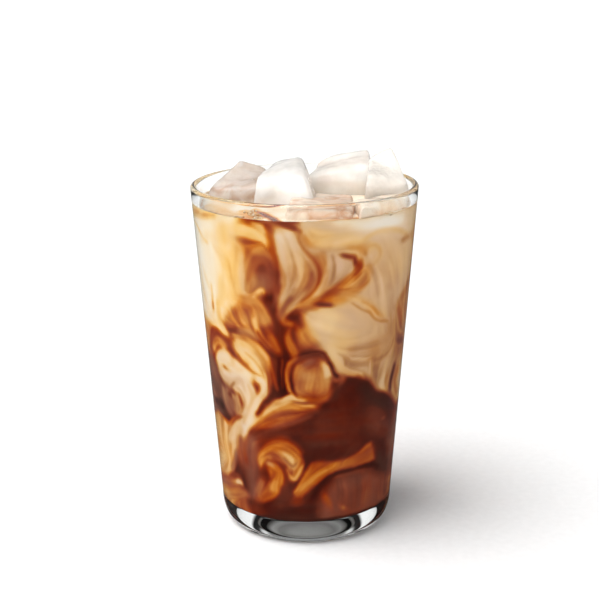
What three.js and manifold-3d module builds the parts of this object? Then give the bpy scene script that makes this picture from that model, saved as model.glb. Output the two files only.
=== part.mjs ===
// Iced milk coffee in a tapered clear tumbler, with ice standing above the rim.
// Millimetres, +Z up. The origin is the centre of the circle that the glass stands on.
import * as THREE from "three";
import { mergeVertices } from "three/addons/utils/BufferGeometryUtils.js";
import Module from "manifold-3d";

const wasm = await Module();
wasm.setup();

// Driving dimensions of the glass
const HEIGHT = 137.5;
const RIM_RADIUS = 44;
const HEEL_RADIUS = 34.35; // outside, where the straight wall meets the rounded heel
const HEEL_HEIGHT = 10.8;
const FOOT_RADIUS = 29; // outer edge of the flat ring that the glass stands on
const FOOT_RING = 3.6; // width of that ring
const PUNT_DEPTH = 1.7; // hollow under the base, inside the ring
const WALL = 2.5;
const FLOOR_HEIGHT = 9.4; // top of the thick base, inside
const FLOOR_CORNER = 3.2; // radius between the inner floor and the wall

// Driving dimensions of the drink and its ice
const FILL_DEPTH = 6.9; // from the rim down to the level of the drink
const GAP = 0.3; // left between pieces that touch
const CREEP = 0.7; // height of the meniscus on the wall
const CREEP_REACH = 2.2; // how far it reaches in from the wall

const ICE_REACH = 30; // more than the ice stands above the rim
const MELT = 0.3; // height of the waves on the faces of the ice
const WAVE_RATE = [0.35, 0.4, 0.45]; // radians of wave for each mm along X, Y and Z
const MARGIN_REACH = 1.5; // a corner is grown this much more than a face, so that a face keeps its gap
const ROUND_SEGMENTS = 72;
const HEEL_STEPS = 7;
const LIP_STEPS = 6;
const CORNER_STEPS = 4;
const ICE_GRID = 7; // faces along each edge of a cube of ice

const LEVEL = HEIGHT - FILL_DEPTH;
const LIP = WALL / 2; // the rim is a half round
const TAPER = (RIM_RADIUS - HEEL_RADIUS) / (HEIGHT - LIP - HEEL_HEIGHT);

// Radius of the straight outer wall at a height, and of the inner wall behind it
const outerRadius = (z) => HEEL_RADIUS + TAPER * (z - HEEL_HEIGHT);
const innerRadius = (z) => outerRadius(z) - WALL;

// Points on a quarter ellipse or an arc, as [radius, height]
function arc(centreR, centreZ, radiusR, radiusZ, fromDeg, toDeg, steps) {
  return Array.from({ length: steps + 1 }, (_, i) => {
    const a = THREE.MathUtils.degToRad(fromDeg + ((toDeg - fromDeg) * i) / steps);
    return [centreR + radiusR * Math.cos(a), centreZ + radiusZ * Math.sin(a)];
  });
}

// A solid turned from a profile of [radius, height] points, from the axis to the axis
function turned(profile) {
  const points = profile.map(([r, z]) => new THREE.Vector2(r, z));
  const geometry = new THREE.LatheGeometry(points, ROUND_SEGMENTS);
  return geometry.rotateX(Math.PI / 2);
}

// Glass: punt, foot ring, rounded heel, straight wall, half-round rim, inner wall, rounded corner, floor
function glassProfile() {
  const puntRadius = FOOT_RADIUS - FOOT_RING;
  const punt = [0, 1 / 3, 2 / 3, 1].map((t) => [puntRadius * t, PUNT_DEPTH * (1 - t * t)]);
  const heel = arc(FOOT_RADIUS, HEEL_HEIGHT, HEEL_RADIUS - FOOT_RADIUS, HEEL_HEIGHT, -90, 0, HEEL_STEPS);
  const lipCentre = HEIGHT - LIP;
  const lip = arc(RIM_RADIUS - LIP, lipCentre, LIP, LIP, 0, 180, LIP_STEPS);
  const cornerZ = FLOOR_HEIGHT + FLOOR_CORNER;
  const cornerR = innerRadius(cornerZ) - FLOOR_CORNER;
  const corner = arc(cornerR, cornerZ, FLOOR_CORNER, FLOOR_CORNER, 0, -90, CORNER_STEPS);
  return [...punt, ...heel, ...lip, ...corner, [0, FLOOR_HEIGHT]];
}

// Drink: the inside of the glass, less the gap, up to the level, with a meniscus at the wall
function drinkProfile() {
  const bottom = FLOOR_HEIGHT + GAP;
  const radius = FLOOR_CORNER - GAP;
  const cornerZ = bottom + radius;
  const corner = arc(innerRadius(cornerZ) - GAP - radius, cornerZ, radius, radius, -90, 0, CORNER_STEPS);
  const edgeZ = LEVEL + CREEP;
  const edgeR = innerRadius(edgeZ) - GAP;
  const creep = [0, 0.35, 1].map((t) => [edgeR - CREEP_REACH * t, edgeZ - CREEP * (1 - (1 - t) ** 2)]);
  return [[0, bottom], ...corner, ...creep, [0, LEVEL]];
}

// Room for ice: the inside of the glass, less the gap, and the same taper on above the rim
function roomProfile() {
  const bottom = FLOOR_HEIGHT + GAP;
  const top = HEIGHT + ICE_REACH;
  const bottomR = innerRadius(bottom) - GAP - FLOOR_CORNER;
  return [[0, bottom], [bottomR, bottom], [innerRadius(top) - GAP, top], [0, top]];
}

// Ice that stands above the drink. Each cube is given by the four corners of its top face, in the
// order front left, front right, back right, back left, where the front is -Y. Its bottom face has
// the same outline, spread about its middle and moved by shift. round is its corner radius.
const ICE = [
  {
    name: "ice_left",
    top: [[-39, 2, 134.5], [-17, -6, 137], [-14, 20, 140.5], [-26, 13, 146.5]],
    spread: 1.05,
    shift: [3, 2, -20],
    round: 3,
  },
  {
    name: "ice_centre",
    top: [[-20, -7, 140.5], [0, -15, 143], [-0.5, 7, 148], [-12, 12, 144.5]],
    spread: 1.55,
    shift: [4.5, 1, -22],
    round: 3.4,
  },
  {
    name: "ice_back_right",
    top: [[0, 11, 138], [26.5, 7, 142.5], [27, 23, 149], [6, 30, 142]],
    spread: 1.05,
    shift: [1, 1, -22],
    round: 3.4,
  },
  {
    name: "ice_right",
    top: [[23, -8, 142], [41, -5, 137.5], [34, 3, 153], [26, 9, 145.5]],
    spread: 1.15,
    shift: [0, 2, -22],
    round: 2.4,
  },
  {
    name: "ice_front",
    top: [[-7.5, -36, 133.5], [17, -34, 132.6], [18.5, -8, 134.4], [-4.5, -6, 135.8]],
    spread: 0.95,
    shift: [0, 0, -13],
    round: 2.6,
  },
  {
    name: "ice_front_right",
    top: [[20, -38, 135.6], [45, -5, 134], [31, -1, 133.6], [18, -19, 134.4]],
    spread: 0.95,
    shift: [-1, 0, -17],
    round: 2.6,
  },
];

// Middle of four corners
function middle(corners) {
  const sum = corners.reduce((s, c) => s.add(new THREE.Vector3(...c)), new THREE.Vector3());
  return sum.divideScalar(corners.length);
}

// Bottom face of a cube of ice, corner by corner
function bottomFace({ top, spread, shift }) {
  const centre = middle(top);
  return top.map(([x, y]) => [
    centre.x + (x - centre.x) * spread + shift[0],
    centre.y + (y - centre.y) * spread + shift[1],
    centre.z + shift[2],
  ]);
}

// A point between the eight corners, where u, v and w run from -1 to 1 across, back and up
function between(top, bottom, u, v, w) {
  const onFace = (face) => {
    const weights = [(1 - u) * (1 - v), (1 + u) * (1 - v), (1 + u) * (1 + v), (1 - u) * (1 + v)];
    const p = new THREE.Vector3();
    face.forEach((corner, i) => p.addScaledVector(new THREE.Vector3(...corner), weights[i] / 4));
    return p;
  };
  return onFace(bottom).lerp(onFace(top), (1 + w) / 2);
}

// One cube of ice: a rounded box drawn out to its corners, its faces waved by melting, and grown by
// a margin all round
function iceBlock(ice, order, margin) {
  const bottom = bottomFace(ice);
  const centre = middle([...ice.top, ...bottom]);
  const spanOf = (pairs) => pairs.reduce((s, [a, b]) => s + a.distanceTo(b), 0) / pairs.length;
  const t = ice.top.map((c) => new THREE.Vector3(...c));
  const half = new THREE.Vector3(
    spanOf([[t[0], t[1]], [t[3], t[2]]]),
    spanOf([[t[0], t[3]], [t[1], t[2]]]),
    -ice.shift[2],
  ).multiplyScalar(0.5);
  const inner = half.clone().subScalar(ice.round);
  const geometry = new THREE.BoxGeometry(2, 2, 2, ICE_GRID, ICE_GRID, ICE_GRID);
  const position = geometry.getAttribute("position");
  const p = new THREE.Vector3();
  const core = new THREE.Vector3();
  for (let i = 0; i < position.count; i += 1) {
    p.fromBufferAttribute(position, i);
    p.set(...p.toArray().map((c) => Math.sin((c * Math.PI) / 2))).multiply(half);
    core.copy(p).clamp(inner.clone().negate(), inner);
    p.sub(core).setLength(ice.round).add(core).divide(half);
    const placed = between(ice.top, bottom, p.x, p.y, p.z).sub(centre);
    const waves = placed.toArray().map((c, axis) => Math.sin(c * WAVE_RATE[axis] + order * (axis + 1)));
    const wave = MELT * (waves[0] + waves[1] + waves[2]);
    placed.setLength(placed.length() + wave + margin * MARGIN_REACH).add(centre);
    position.setXYZ(i, ...placed);
  }
  return geometry;
}

// A three.js geometry as a solid for cutting, and a solid as a geometry again
function solidOf(geometry) {
  const bare = new THREE.BufferGeometry().setAttribute("position", geometry.getAttribute("position"));
  bare.setIndex(geometry.getIndex());
  const merged = mergeVertices(bare, 1e-4);
  const triVerts = new Uint32Array(merged.getIndex().array);
  const vertProperties = new Float32Array(merged.getAttribute("position").array);
  return new wasm.Manifold(new wasm.Mesh({ numProp: 3, vertProperties, triVerts }));
}

function geometryOf(solid) {
  const mesh = solid.getMesh();
  const geometry = new THREE.BufferGeometry();
  geometry.setAttribute("position", new THREE.BufferAttribute(new Float32Array(mesh.vertProperties), 3));
  geometry.setIndex(new THREE.BufferAttribute(new Uint32Array(mesh.triVerts), 1));
  geometry.computeVertexNormals();
  return geometry;
}

// Finishes: none is a metal, and the clear ones let some light through
const finish = (color, roughness, opacity) =>
  new THREE.MeshStandardMaterial({ color, roughness, metalness: 0, transparent: opacity < 1, opacity });
const clearGlass = finish("#e9eeee", 0.03, 0.35);
const milkCoffee = finish("#b06a34", 0.25, 1);
const clearIce = finish("#f3f2ee", 0.15, 0.6);

const icedCoffee = new THREE.Group();

function addPiece(name, geometry, material) {
  const piece = new THREE.Mesh(geometry, material);
  piece.name = name;
  icedCoffee.add(piece);
}

addPiece("glass", turned(glassProfile()), clearGlass);

// Each cube is cut back by the cubes before it, and all of them are cut out of the drink
const room = solidOf(turned(roomProfile()));
let drink = solidOf(turned(drinkProfile()));
let taken = null;
ICE.forEach((ice, order) => {
  let block = solidOf(iceBlock(ice, order, 0)).intersect(room);
  const socket = solidOf(iceBlock(ice, order, GAP));
  if (taken) block = block.subtract(taken);
  taken = taken ? taken.add(socket) : socket;
  drink = drink.subtract(socket);
  addPiece(ice.name, geometryOf(block), clearIce);
});

addPiece("drink", geometryOf(drink), milkCoffee);

export default icedCoffee;
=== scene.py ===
# %% [markdown]
# # Iced milk coffee in a tapered tumbler
# A clear glass holds coffee with milk running down through it, and melting ice stands above the rim.
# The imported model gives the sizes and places, and every visible piece below is built on them. Shapes
# are worked out in millimetres, as a glass maker would, and turned to metres when a mesh is made.

# %% Frame
import math

import bpy
import numpy as np
from mathutils import Matrix, Vector


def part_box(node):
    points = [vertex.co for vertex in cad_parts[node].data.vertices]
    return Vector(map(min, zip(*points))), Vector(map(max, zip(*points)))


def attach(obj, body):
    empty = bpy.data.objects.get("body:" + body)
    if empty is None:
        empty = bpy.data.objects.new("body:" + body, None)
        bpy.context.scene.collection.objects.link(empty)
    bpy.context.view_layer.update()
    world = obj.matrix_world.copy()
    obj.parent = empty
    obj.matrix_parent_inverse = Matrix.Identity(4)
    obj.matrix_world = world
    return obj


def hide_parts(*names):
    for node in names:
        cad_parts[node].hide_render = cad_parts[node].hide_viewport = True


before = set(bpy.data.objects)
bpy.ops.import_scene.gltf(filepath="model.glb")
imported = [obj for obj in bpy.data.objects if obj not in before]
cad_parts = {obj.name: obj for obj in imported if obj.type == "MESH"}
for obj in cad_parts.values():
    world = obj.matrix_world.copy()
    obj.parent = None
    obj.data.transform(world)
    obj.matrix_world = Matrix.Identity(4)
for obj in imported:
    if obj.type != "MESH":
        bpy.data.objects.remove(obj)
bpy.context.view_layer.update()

MM = 0.001
print("frame nodes:", sorted(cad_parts))

# %% [markdown]
# ## Sizes
# The glass is turned from one profile, so a few radii and heights drive it. The rim and the height come
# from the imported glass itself. The rest repeats the sizes that the model was made with.

# %% Driving sizes, in millimetres
glass_low, glass_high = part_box("glass")
HEIGHT = (glass_high[2] - glass_low[2]) / MM
RIM_RADIUS = (glass_high[0] - glass_low[0]) / 2 / MM
WALL = 2.5
LIP = WALL / 2
HEEL_RADIUS = 34.35  # outside, where the straight wall meets the rounded heel
HEEL_HEIGHT = 10.8
FOOT_RADIUS = 29.0  # outer edge of the ring that the glass stands on
FOOT_RING = 3.6  # width of that ring
PUNT_DEPTH = 1.7  # hollow under the base, inside the ring
FLOOR_HEIGHT = 9.4  # top of the thick base, inside
FLOOR_CORNER = 3.2  # radius between the inner floor and the wall
FILL_DEPTH = 6.9  # from the rim down to the level of the drink
LEVEL = HEIGHT - FILL_DEPTH
CREEP = 0.7  # height of the small rise of the drink at the wall
CREEP_REACH = 2.2  # how far that rise reaches in
OVERLAP = 0.15  # how far the drink reaches into the wall, so that no air shows
TAPER = (RIM_RADIUS - HEEL_RADIUS) / (HEIGHT - LIP - HEEL_HEIGHT)


def outer_radius(z):
    return HEEL_RADIUS + TAPER * (z - HEEL_HEIGHT)


def inner_radius(z):
    return outer_radius(z) - WALL


print("glass", round(HEIGHT, 1), "mm high, rim", round(2 * RIM_RADIUS, 1), "mm across")

# %% [markdown]
# ## Camera
# The ellipses of the rim, the level and the foot in the photo give the camera: about half a metre away,
# 16 degrees above the horizon, with a short telephoto lens and a hair of tilt.

# %% Camera
CAMERA_DISTANCE = 517.4
CAMERA_ELEVATION = math.radians(15.88)
CAMERA_TARGET = Vector((-2.06, 0.0, 90.3))
CAMERA_TILT = math.radians(-0.44)
CAMERA_LENS = 78.4
SENSOR_WIDTH = 36

back_off = Vector((0, -math.cos(CAMERA_ELEVATION), math.sin(CAMERA_ELEVATION)))
camera = bpy.data.objects.new("camera", bpy.data.cameras.new("camera"))
camera.data.lens = CAMERA_LENS
camera.data.sensor_width = SENSOR_WIDTH
camera.location = (CAMERA_TARGET + back_off * CAMERA_DISTANCE) * MM
aim = (-back_off).to_track_quat("-Z", "Y").to_matrix().to_4x4()
camera.rotation_euler = (aim @ Matrix.Rotation(CAMERA_TILT, 4, "Z")).to_euler()
bpy.context.collection.objects.link(camera)
bpy.context.scene.camera = camera
print("camera at", [round(v, 3) for v in camera.location])

# %% [markdown]
# ## Helpers
# Colours are written as they look on a screen, so one function turns them into the linear values that
# light is added up in. One more adds a shader or geometry node with its settings and its links, and the
# rest name the few groups of nodes that come back in most materials.


# %% Colour and node helpers
def linear(hex_text):
    parts = [int(hex_text[i : i + 2], 16) / 255 for i in (1, 3, 5)]
    return [c / 12.92 if c <= 0.04045 else ((c + 0.055) / 1.055) ** 2.4 for c in parts] + [1.0]


def add(tree, kind, inputs=None, **settings):
    node = tree.nodes.new(kind)
    for name, value in settings.items():
        setattr(node, name, value)
    for name, value in (inputs or {}).items():
        if isinstance(value, bpy.types.NodeSocket):
            tree.links.new(value, node.inputs[name])
        else:
            node.inputs[name].default_value = value
    return node


def math_node(tree, operation, *values, clamp=False):
    inputs = dict(enumerate(values))
    return add(tree, "ShaderNodeMath", inputs, operation=operation, use_clamp=clamp).outputs[0]


def spread(tree, value, from_low=0.0, from_high=1.0, to_low=0.0, to_high=1.0):
    """Stretches a value from one range to another, and holds it at the ends."""
    ends = {"From Min": from_low, "From Max": from_high, "To Min": to_low, "To Max": to_high}
    return add(tree, "ShaderNodeMapRange", {"Value": value, **ends}).outputs["Result"]


def mix_colours(tree, share, first, second, blend="MIX"):
    inputs = {"Factor": share, "A": first, "B": second}
    node = add(tree, "ShaderNodeMix", inputs, data_type="RGBA", blend_type=blend)
    return next(o for o in node.outputs if o.type == "RGBA")


def ramp(tree, value, stops, colour=linear):
    """Colours from stops of a position from 0 to 1 and a colour."""
    node = add(tree, "ShaderNodeValToRGB", {"Fac": value})
    steps = node.color_ramp.elements
    steps[0].position, steps[0].color = stops[0][0], colour(stops[0][1])
    steps[1].position, steps[1].color = stops[-1][0], colour(stops[-1][1])
    for position, hex_text in stops[1:-1]:
        steps.new(position).color = colour(hex_text)
    return node.outputs["Color"]


print("colour and node helpers ready")


# %% Material helpers
def new_material(name):
    """A material, its empty node tree, and the place of each point on the piece."""
    material = bpy.data.materials.new(name)
    material.use_nodes = True
    tree = material.node_tree
    tree.nodes.clear()
    return material, tree, add(tree, "ShaderNodeTexCoord").outputs["Object"]


def noise_texture(tree, place, size_mm, detail, distortion=0.0):
    inputs = {"Vector": place, "Scale": 1 / (size_mm * MM), "Detail": detail, "Distortion": distortion}
    return add(tree, "ShaderNodeTexNoise", inputs).outputs["Fac"]


def bumps(tree, height, strength, depth_mm):
    inputs = {"Height": height, "Strength": strength, "Distance": depth_mm * MM}
    return add(tree, "ShaderNodeBump", inputs).outputs["Normal"]


def finish_material(tree, inputs):
    shader = add(tree, "ShaderNodeBsdfPrincipled", inputs)
    add(tree, "ShaderNodeOutputMaterial", {"Surface": shader.outputs[0]})


print("material helpers ready")


# %% Mesh helpers
def new_piece(name, vertices_mm, faces, smooth=True):
    mesh = bpy.data.meshes.new(name)
    mesh.from_pydata((np.asarray(vertices_mm) * MM).tolist(), [], faces)
    mesh.validate()
    if smooth:
        mesh.shade_smooth()
    piece = bpy.data.objects.new(name, mesh)
    bpy.context.collection.objects.link(piece)
    return piece


def settle(piece):
    """Applies the piece's modifiers, so that it holds a plain mesh."""
    bpy.context.view_layer.update()
    seen = piece.evaluated_get(bpy.context.evaluated_depsgraph_get())
    mesh = bpy.data.meshes.new_from_object(seen)
    piece.modifiers.clear()
    piece.data = mesh


def mesh_arrays(mesh):
    points = np.empty(len(mesh.vertices) * 3)
    normals = np.empty_like(points)
    mesh.vertices.foreach_get("co", points)
    mesh.vertices.foreach_get("normal", normals)
    return points.reshape(-1, 3), normals.reshape(-1, 3)


def ring_faces(rows, columns):
    """Quads between rows of points that each close on themselves, facing out when rows run upwards."""
    faces = []
    for r in range(rows - 1):
        for c in range(columns):
            d = (c + 1) % columns
            faces.append((r * columns + c, r * columns + d, (r + 1) * columns + d, (r + 1) * columns + c))
    return faces


print("mesh helpers ready")

# %% [markdown]
# ## Glass
# A pressed tumbler: a hollow under a thick base, a rounded heel, a straight taper and a rim that was
# melted round with a flame. A lathe profile is the natural way to make it, because every section is a
# circle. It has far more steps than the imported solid, so that refraction sees a true curve.


# %% Glass profile and mesh
def arc(centre_r, centre_z, radius_r, radius_z, start, stop, steps):
    """Points on a quarter of an ellipse or an arc, as (radius, height), between two angles in degrees."""
    angles = np.radians(np.linspace(start, stop, steps + 1))
    return [(centre_r + radius_r * math.cos(a), centre_z + radius_z * math.sin(a)) for a in angles]


def straight(start, stop, steps):
    """Points between two points, ends left out."""
    return [tuple(np.array(start) + (np.array(stop) - start) * k / steps) for k in range(1, steps)]


def glass_profile():
    punt_radius = FOOT_RADIUS - FOOT_RING
    punt = [(punt_radius * t, PUNT_DEPTH * (1 - t * t)) for t in np.linspace(0.04, 1, 16)]
    heel = arc(FOOT_RADIUS, HEEL_HEIGHT, HEEL_RADIUS - FOOT_RADIUS, HEEL_HEIGHT, -90, 0, steps=28)
    lip = arc(RIM_RADIUS - LIP, HEIGHT - LIP, LIP, LIP, 0, 180, steps=20)
    corner_z = FLOOR_HEIGHT + FLOOR_CORNER
    corner_r = inner_radius(corner_z) - FLOOR_CORNER
    corner = arc(corner_r, corner_z, FLOOR_CORNER, FLOOR_CORNER, 0, -90, steps=16)
    ring = straight(punt[-1], heel[0], steps=3)
    outside = straight(heel[-1], lip[0], steps=40)
    inside = straight(lip[-1], corner[0], steps=40)
    floor_points = [(corner_r * t, FLOOR_HEIGHT) for t in (0.9, 0.6, 0.3, 0.04)]
    return punt + ring + heel + outside + lip + inside + corner + floor_points


def turned(name, profile, columns):
    """A closed mesh turned from a profile, with a fan of faces at each end."""
    angles = np.arange(columns) * 2 * math.pi / columns
    points = [(r * math.cos(a), r * math.sin(a), z) for r, z in profile for a in angles]
    faces = ring_faces(len(profile), columns)
    points += [(0, 0, profile[0][1]), (0, 0, profile[-1][1])]
    first, last = len(points) - 2, len(points) - 1
    top_row = (len(profile) - 1) * columns
    for c in range(columns):
        d = (c + 1) % columns
        faces.append((first, d, c))
        faces.append((last, top_row + c, top_row + d))
    return new_piece(name, points, faces)


TUMBLER_COLUMNS = 224
tumbler = turned("tumbler", glass_profile(), TUMBLER_COLUMNS)
print("tumbler:", len(tumbler.data.polygons), "faces")

# %% [markdown]
# ## How the marbling is made
# Milk sinks through coffee in soft plumes. The wall of the drink is treated as a sheet, unrolled round
# the glass: `s` is the way round in mm, 0 at the front, and `z` is the height in mm. Two numbers are
# painted on that sheet. `milk` runs from 0, strong coffee, to 1, cream. `haze` runs from 0, a clear warm
# tone, to 1, a cloudy tan. Because colour comes from these numbers, a soft edge between cream and coffee
# passes through gold and rust by itself, as it does in the real drink.

# %% Noise on a sheet that closes on itself
AROUND = 232.5  # mm round the wall of the drink, a little above its middle
NOISE_ROWS = 64
NOISE_GAIN = 1.6  # brings the noise to about -1 to 1
SWIRL_SLOPE = 2.2  # brings the curl of the noise to about 1


def smooth(t):
    t = np.clip(t, 0, 1)
    return t * t * (3 - 2 * t)


def noise(s, z, cell, seed):
    """Smooth gradient noise from about -1 to 1, with features of about cell mm."""
    count = max(3, round(AROUND / cell))
    angle = np.random.default_rng(seed).random((count, NOISE_ROWS)) * 2 * math.pi
    push_s, push_z = np.cos(angle), np.sin(angle)
    x = np.mod(s / AROUND, 1.0) * count
    y = z / cell
    xi, yi = np.floor(x).astype(int), np.floor(y).astype(int)
    fx, fy = x - xi, y - yi

    def corner(dx, dy):
        i, j = (xi + dx) % count, (yi + dy) % NOISE_ROWS
        return push_s[i, j] * (fx - dx) + push_z[i, j] * (fy - dy)

    ux, uy = smooth(fx), smooth(fy)
    low = corner(0, 0) * (1 - ux) + corner(1, 0) * ux
    high = corner(0, 1) * (1 - ux) + corner(1, 1) * ux
    return (low * (1 - uy) + high * uy) * NOISE_GAIN


def stirred(s, z, cell, reach, seed):
    """Moves points along the curl of a noise, by about reach cells, so that shapes fold and never tear."""
    e = cell * 0.05
    k = reach * cell / (2 * e) / SWIRL_SLOPE
    along_s = noise(s, z + e, cell, seed) - noise(s, z - e, cell, seed)
    along_z = noise(s - e, z, cell, seed) - noise(s + e, z, cell, seed)
    return s + along_s * k, z + along_z * k


print("noise repeats every", AROUND, "mm round the glass")

# %% [markdown]
# ## Two kinds of stroke
# A plume follows a curve and has a width at each of its points. An area fills an outline. Both have a
# soft edge in mm, a cover from 0 to 1, and some streaks along the flow. A plume also notes which way it
# runs, which the last step uses.


# %% Strokes
THINNEST = 0.3  # mm, the least width of a plume
FAR_OFF = 1e9


def curve(points, steps=6):
    """A smooth curve through points, by Catmull and Rom's rule."""
    p = np.array(points, float)
    if len(p) < 3:
        t = np.linspace(0, 1, steps + 1)[:, None]
        return p[0] * (1 - t) + p[-1] * t
    q = np.vstack([2 * p[0] - p[1], p, 2 * p[-1] - p[-2]])
    t = np.linspace(0, 1, steps, endpoint=False)[:, None]
    out = []
    for a, b, c, d in zip(q[:-3], q[1:-2], q[2:-1], q[3:]):
        bend = (2 * a - 5 * b + 4 * c - d) * t**2 + (3 * b - a - 3 * c + d) * t**3
        out.append(0.5 * (2 * b + (c - a) * t + bend))
    return np.vstack(out + [q[-2][None]])


def near_points(field, points, pad):
    """The part of the sheet that a stroke can reach."""
    s, z = field["s"], field["z"]
    low, high = points.min(0) - pad, points.max(0) + pad
    return (s > low[0]) & (s < high[0]) & (z > low[1]) & (z < high[1])


def lay(field, box, weight, milk, haze):
    """Paints over what lies below, as far as weight says."""
    field["milk"][box] += (milk - field["milk"][box]) * weight
    field["haze"][box] += (haze - field["haze"][box]) * weight


def streaks(amount, side, along, seed):
    """Lines along a stroke, fine ones on broad ones."""
    fine = noise(side * 9, along * 1.1 + 7, 6.0, seed + 31)
    broad = noise(side * 3.5, along * 0.6 + 3, 6.0, seed + 57)
    return amount * (0.25 * fine + 0.5 * broad)


def plume(field, points, milk, haze, soft, cover, streak, seed):
    path = curve(points)
    path[:, 2] = np.maximum(path[:, 2], THINNEST)
    box = near_points(field, path[:, :2], path[:, 2].max() / 2 + soft)
    s, z = field["s"][box], field["z"][box]
    edge = np.full(s.shape, FAR_OFF)
    along, side = np.zeros_like(s), np.zeros_like(s)
    turn = np.zeros((2,) + s.shape)
    run = 0.0
    for a, b in zip(path[:-1], path[1:]):
        d = b[:2] - a[:2]
        length = max(np.hypot(*d), 1e-6)
        t = np.clip(((s - a[0]) * d[0] + (z - a[1]) * d[1]) / length**2, 0, 1)
        off_s, off_z = s - a[0] - t * d[0], z - a[1] - t * d[1]
        gap = np.hypot(off_s, off_z) - (a[2] + t * (b[2] - a[2])) / 2
        near = gap < edge
        edge[near] = gap[near]
        along[near] = (run + t * length)[near]
        side[near] = ((off_s * d[1] - off_z * d[0]) / length)[near]
        turn[0][near] = (d[0] ** 2 - d[1] ** 2) / length**2
        turn[1][near] = 2 * d[0] * d[1] / length**2
        run += length
    patchy = np.clip(1 + 0.35 * noise(along * 2 + seed * 13, side * 2 + seed * 7, 9.0, seed + 11), 0, 1)
    ends = smooth(np.minimum(along, run - along) / (0.6 * path[:, 2].mean() + 0.8) + 0.35)
    weight = smooth(0.5 - edge / soft) * cover * patchy * ends
    lay(field, box, weight, milk + streaks(streak, side, along, seed), haze)
    for k in range(2):
        field["turn"][k][box] += (turn[k] - field["turn"][k][box]) * smooth(0.9 - edge / (soft + 2.0))


def area(field, points, milk, haze, soft, cover, streak, seed):
    outline = np.array(points, float)
    box = near_points(field, outline, soft + 1)
    s, z = field["s"][box], field["z"][box]
    inside = np.zeros(s.shape, bool)
    edge = np.full(s.shape, FAR_OFF)
    for a, b in zip(outline, np.roll(outline, -1, 0)):
        d = b - a
        t = np.clip(((s - a[0]) * d[0] + (z - a[1]) * d[1]) / max(d @ d, 1e-9), 0, 1)
        edge = np.minimum(edge, np.hypot(s - a[0] - t * d[0], z - a[1] - t * d[1]))
        rise = d[1] if abs(d[1]) > 1e-9 else 1e-9
        inside ^= ((a[1] > z) != (b[1] > z)) & (s < a[0] + (z - a[1]) / rise * d[0])
    edge = np.where(inside, -edge, edge)
    lay(field, box, smooth(0.5 - edge / soft) * cover, milk + streaks(streak, s * 0.12, z * 0.2, seed), haze)


STROKE = {"plume": plume, "area": area}
print("strokes:", ", ".join(STROKE))


# %% [markdown]
# ## Strokes of the front
# Every fold of the front is one line: milk, haze, soft edge in mm, cover, streaks, and then its points,
# as s, z and width for a plume. A line that starts with the word area has only s and z at each point.

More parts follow.
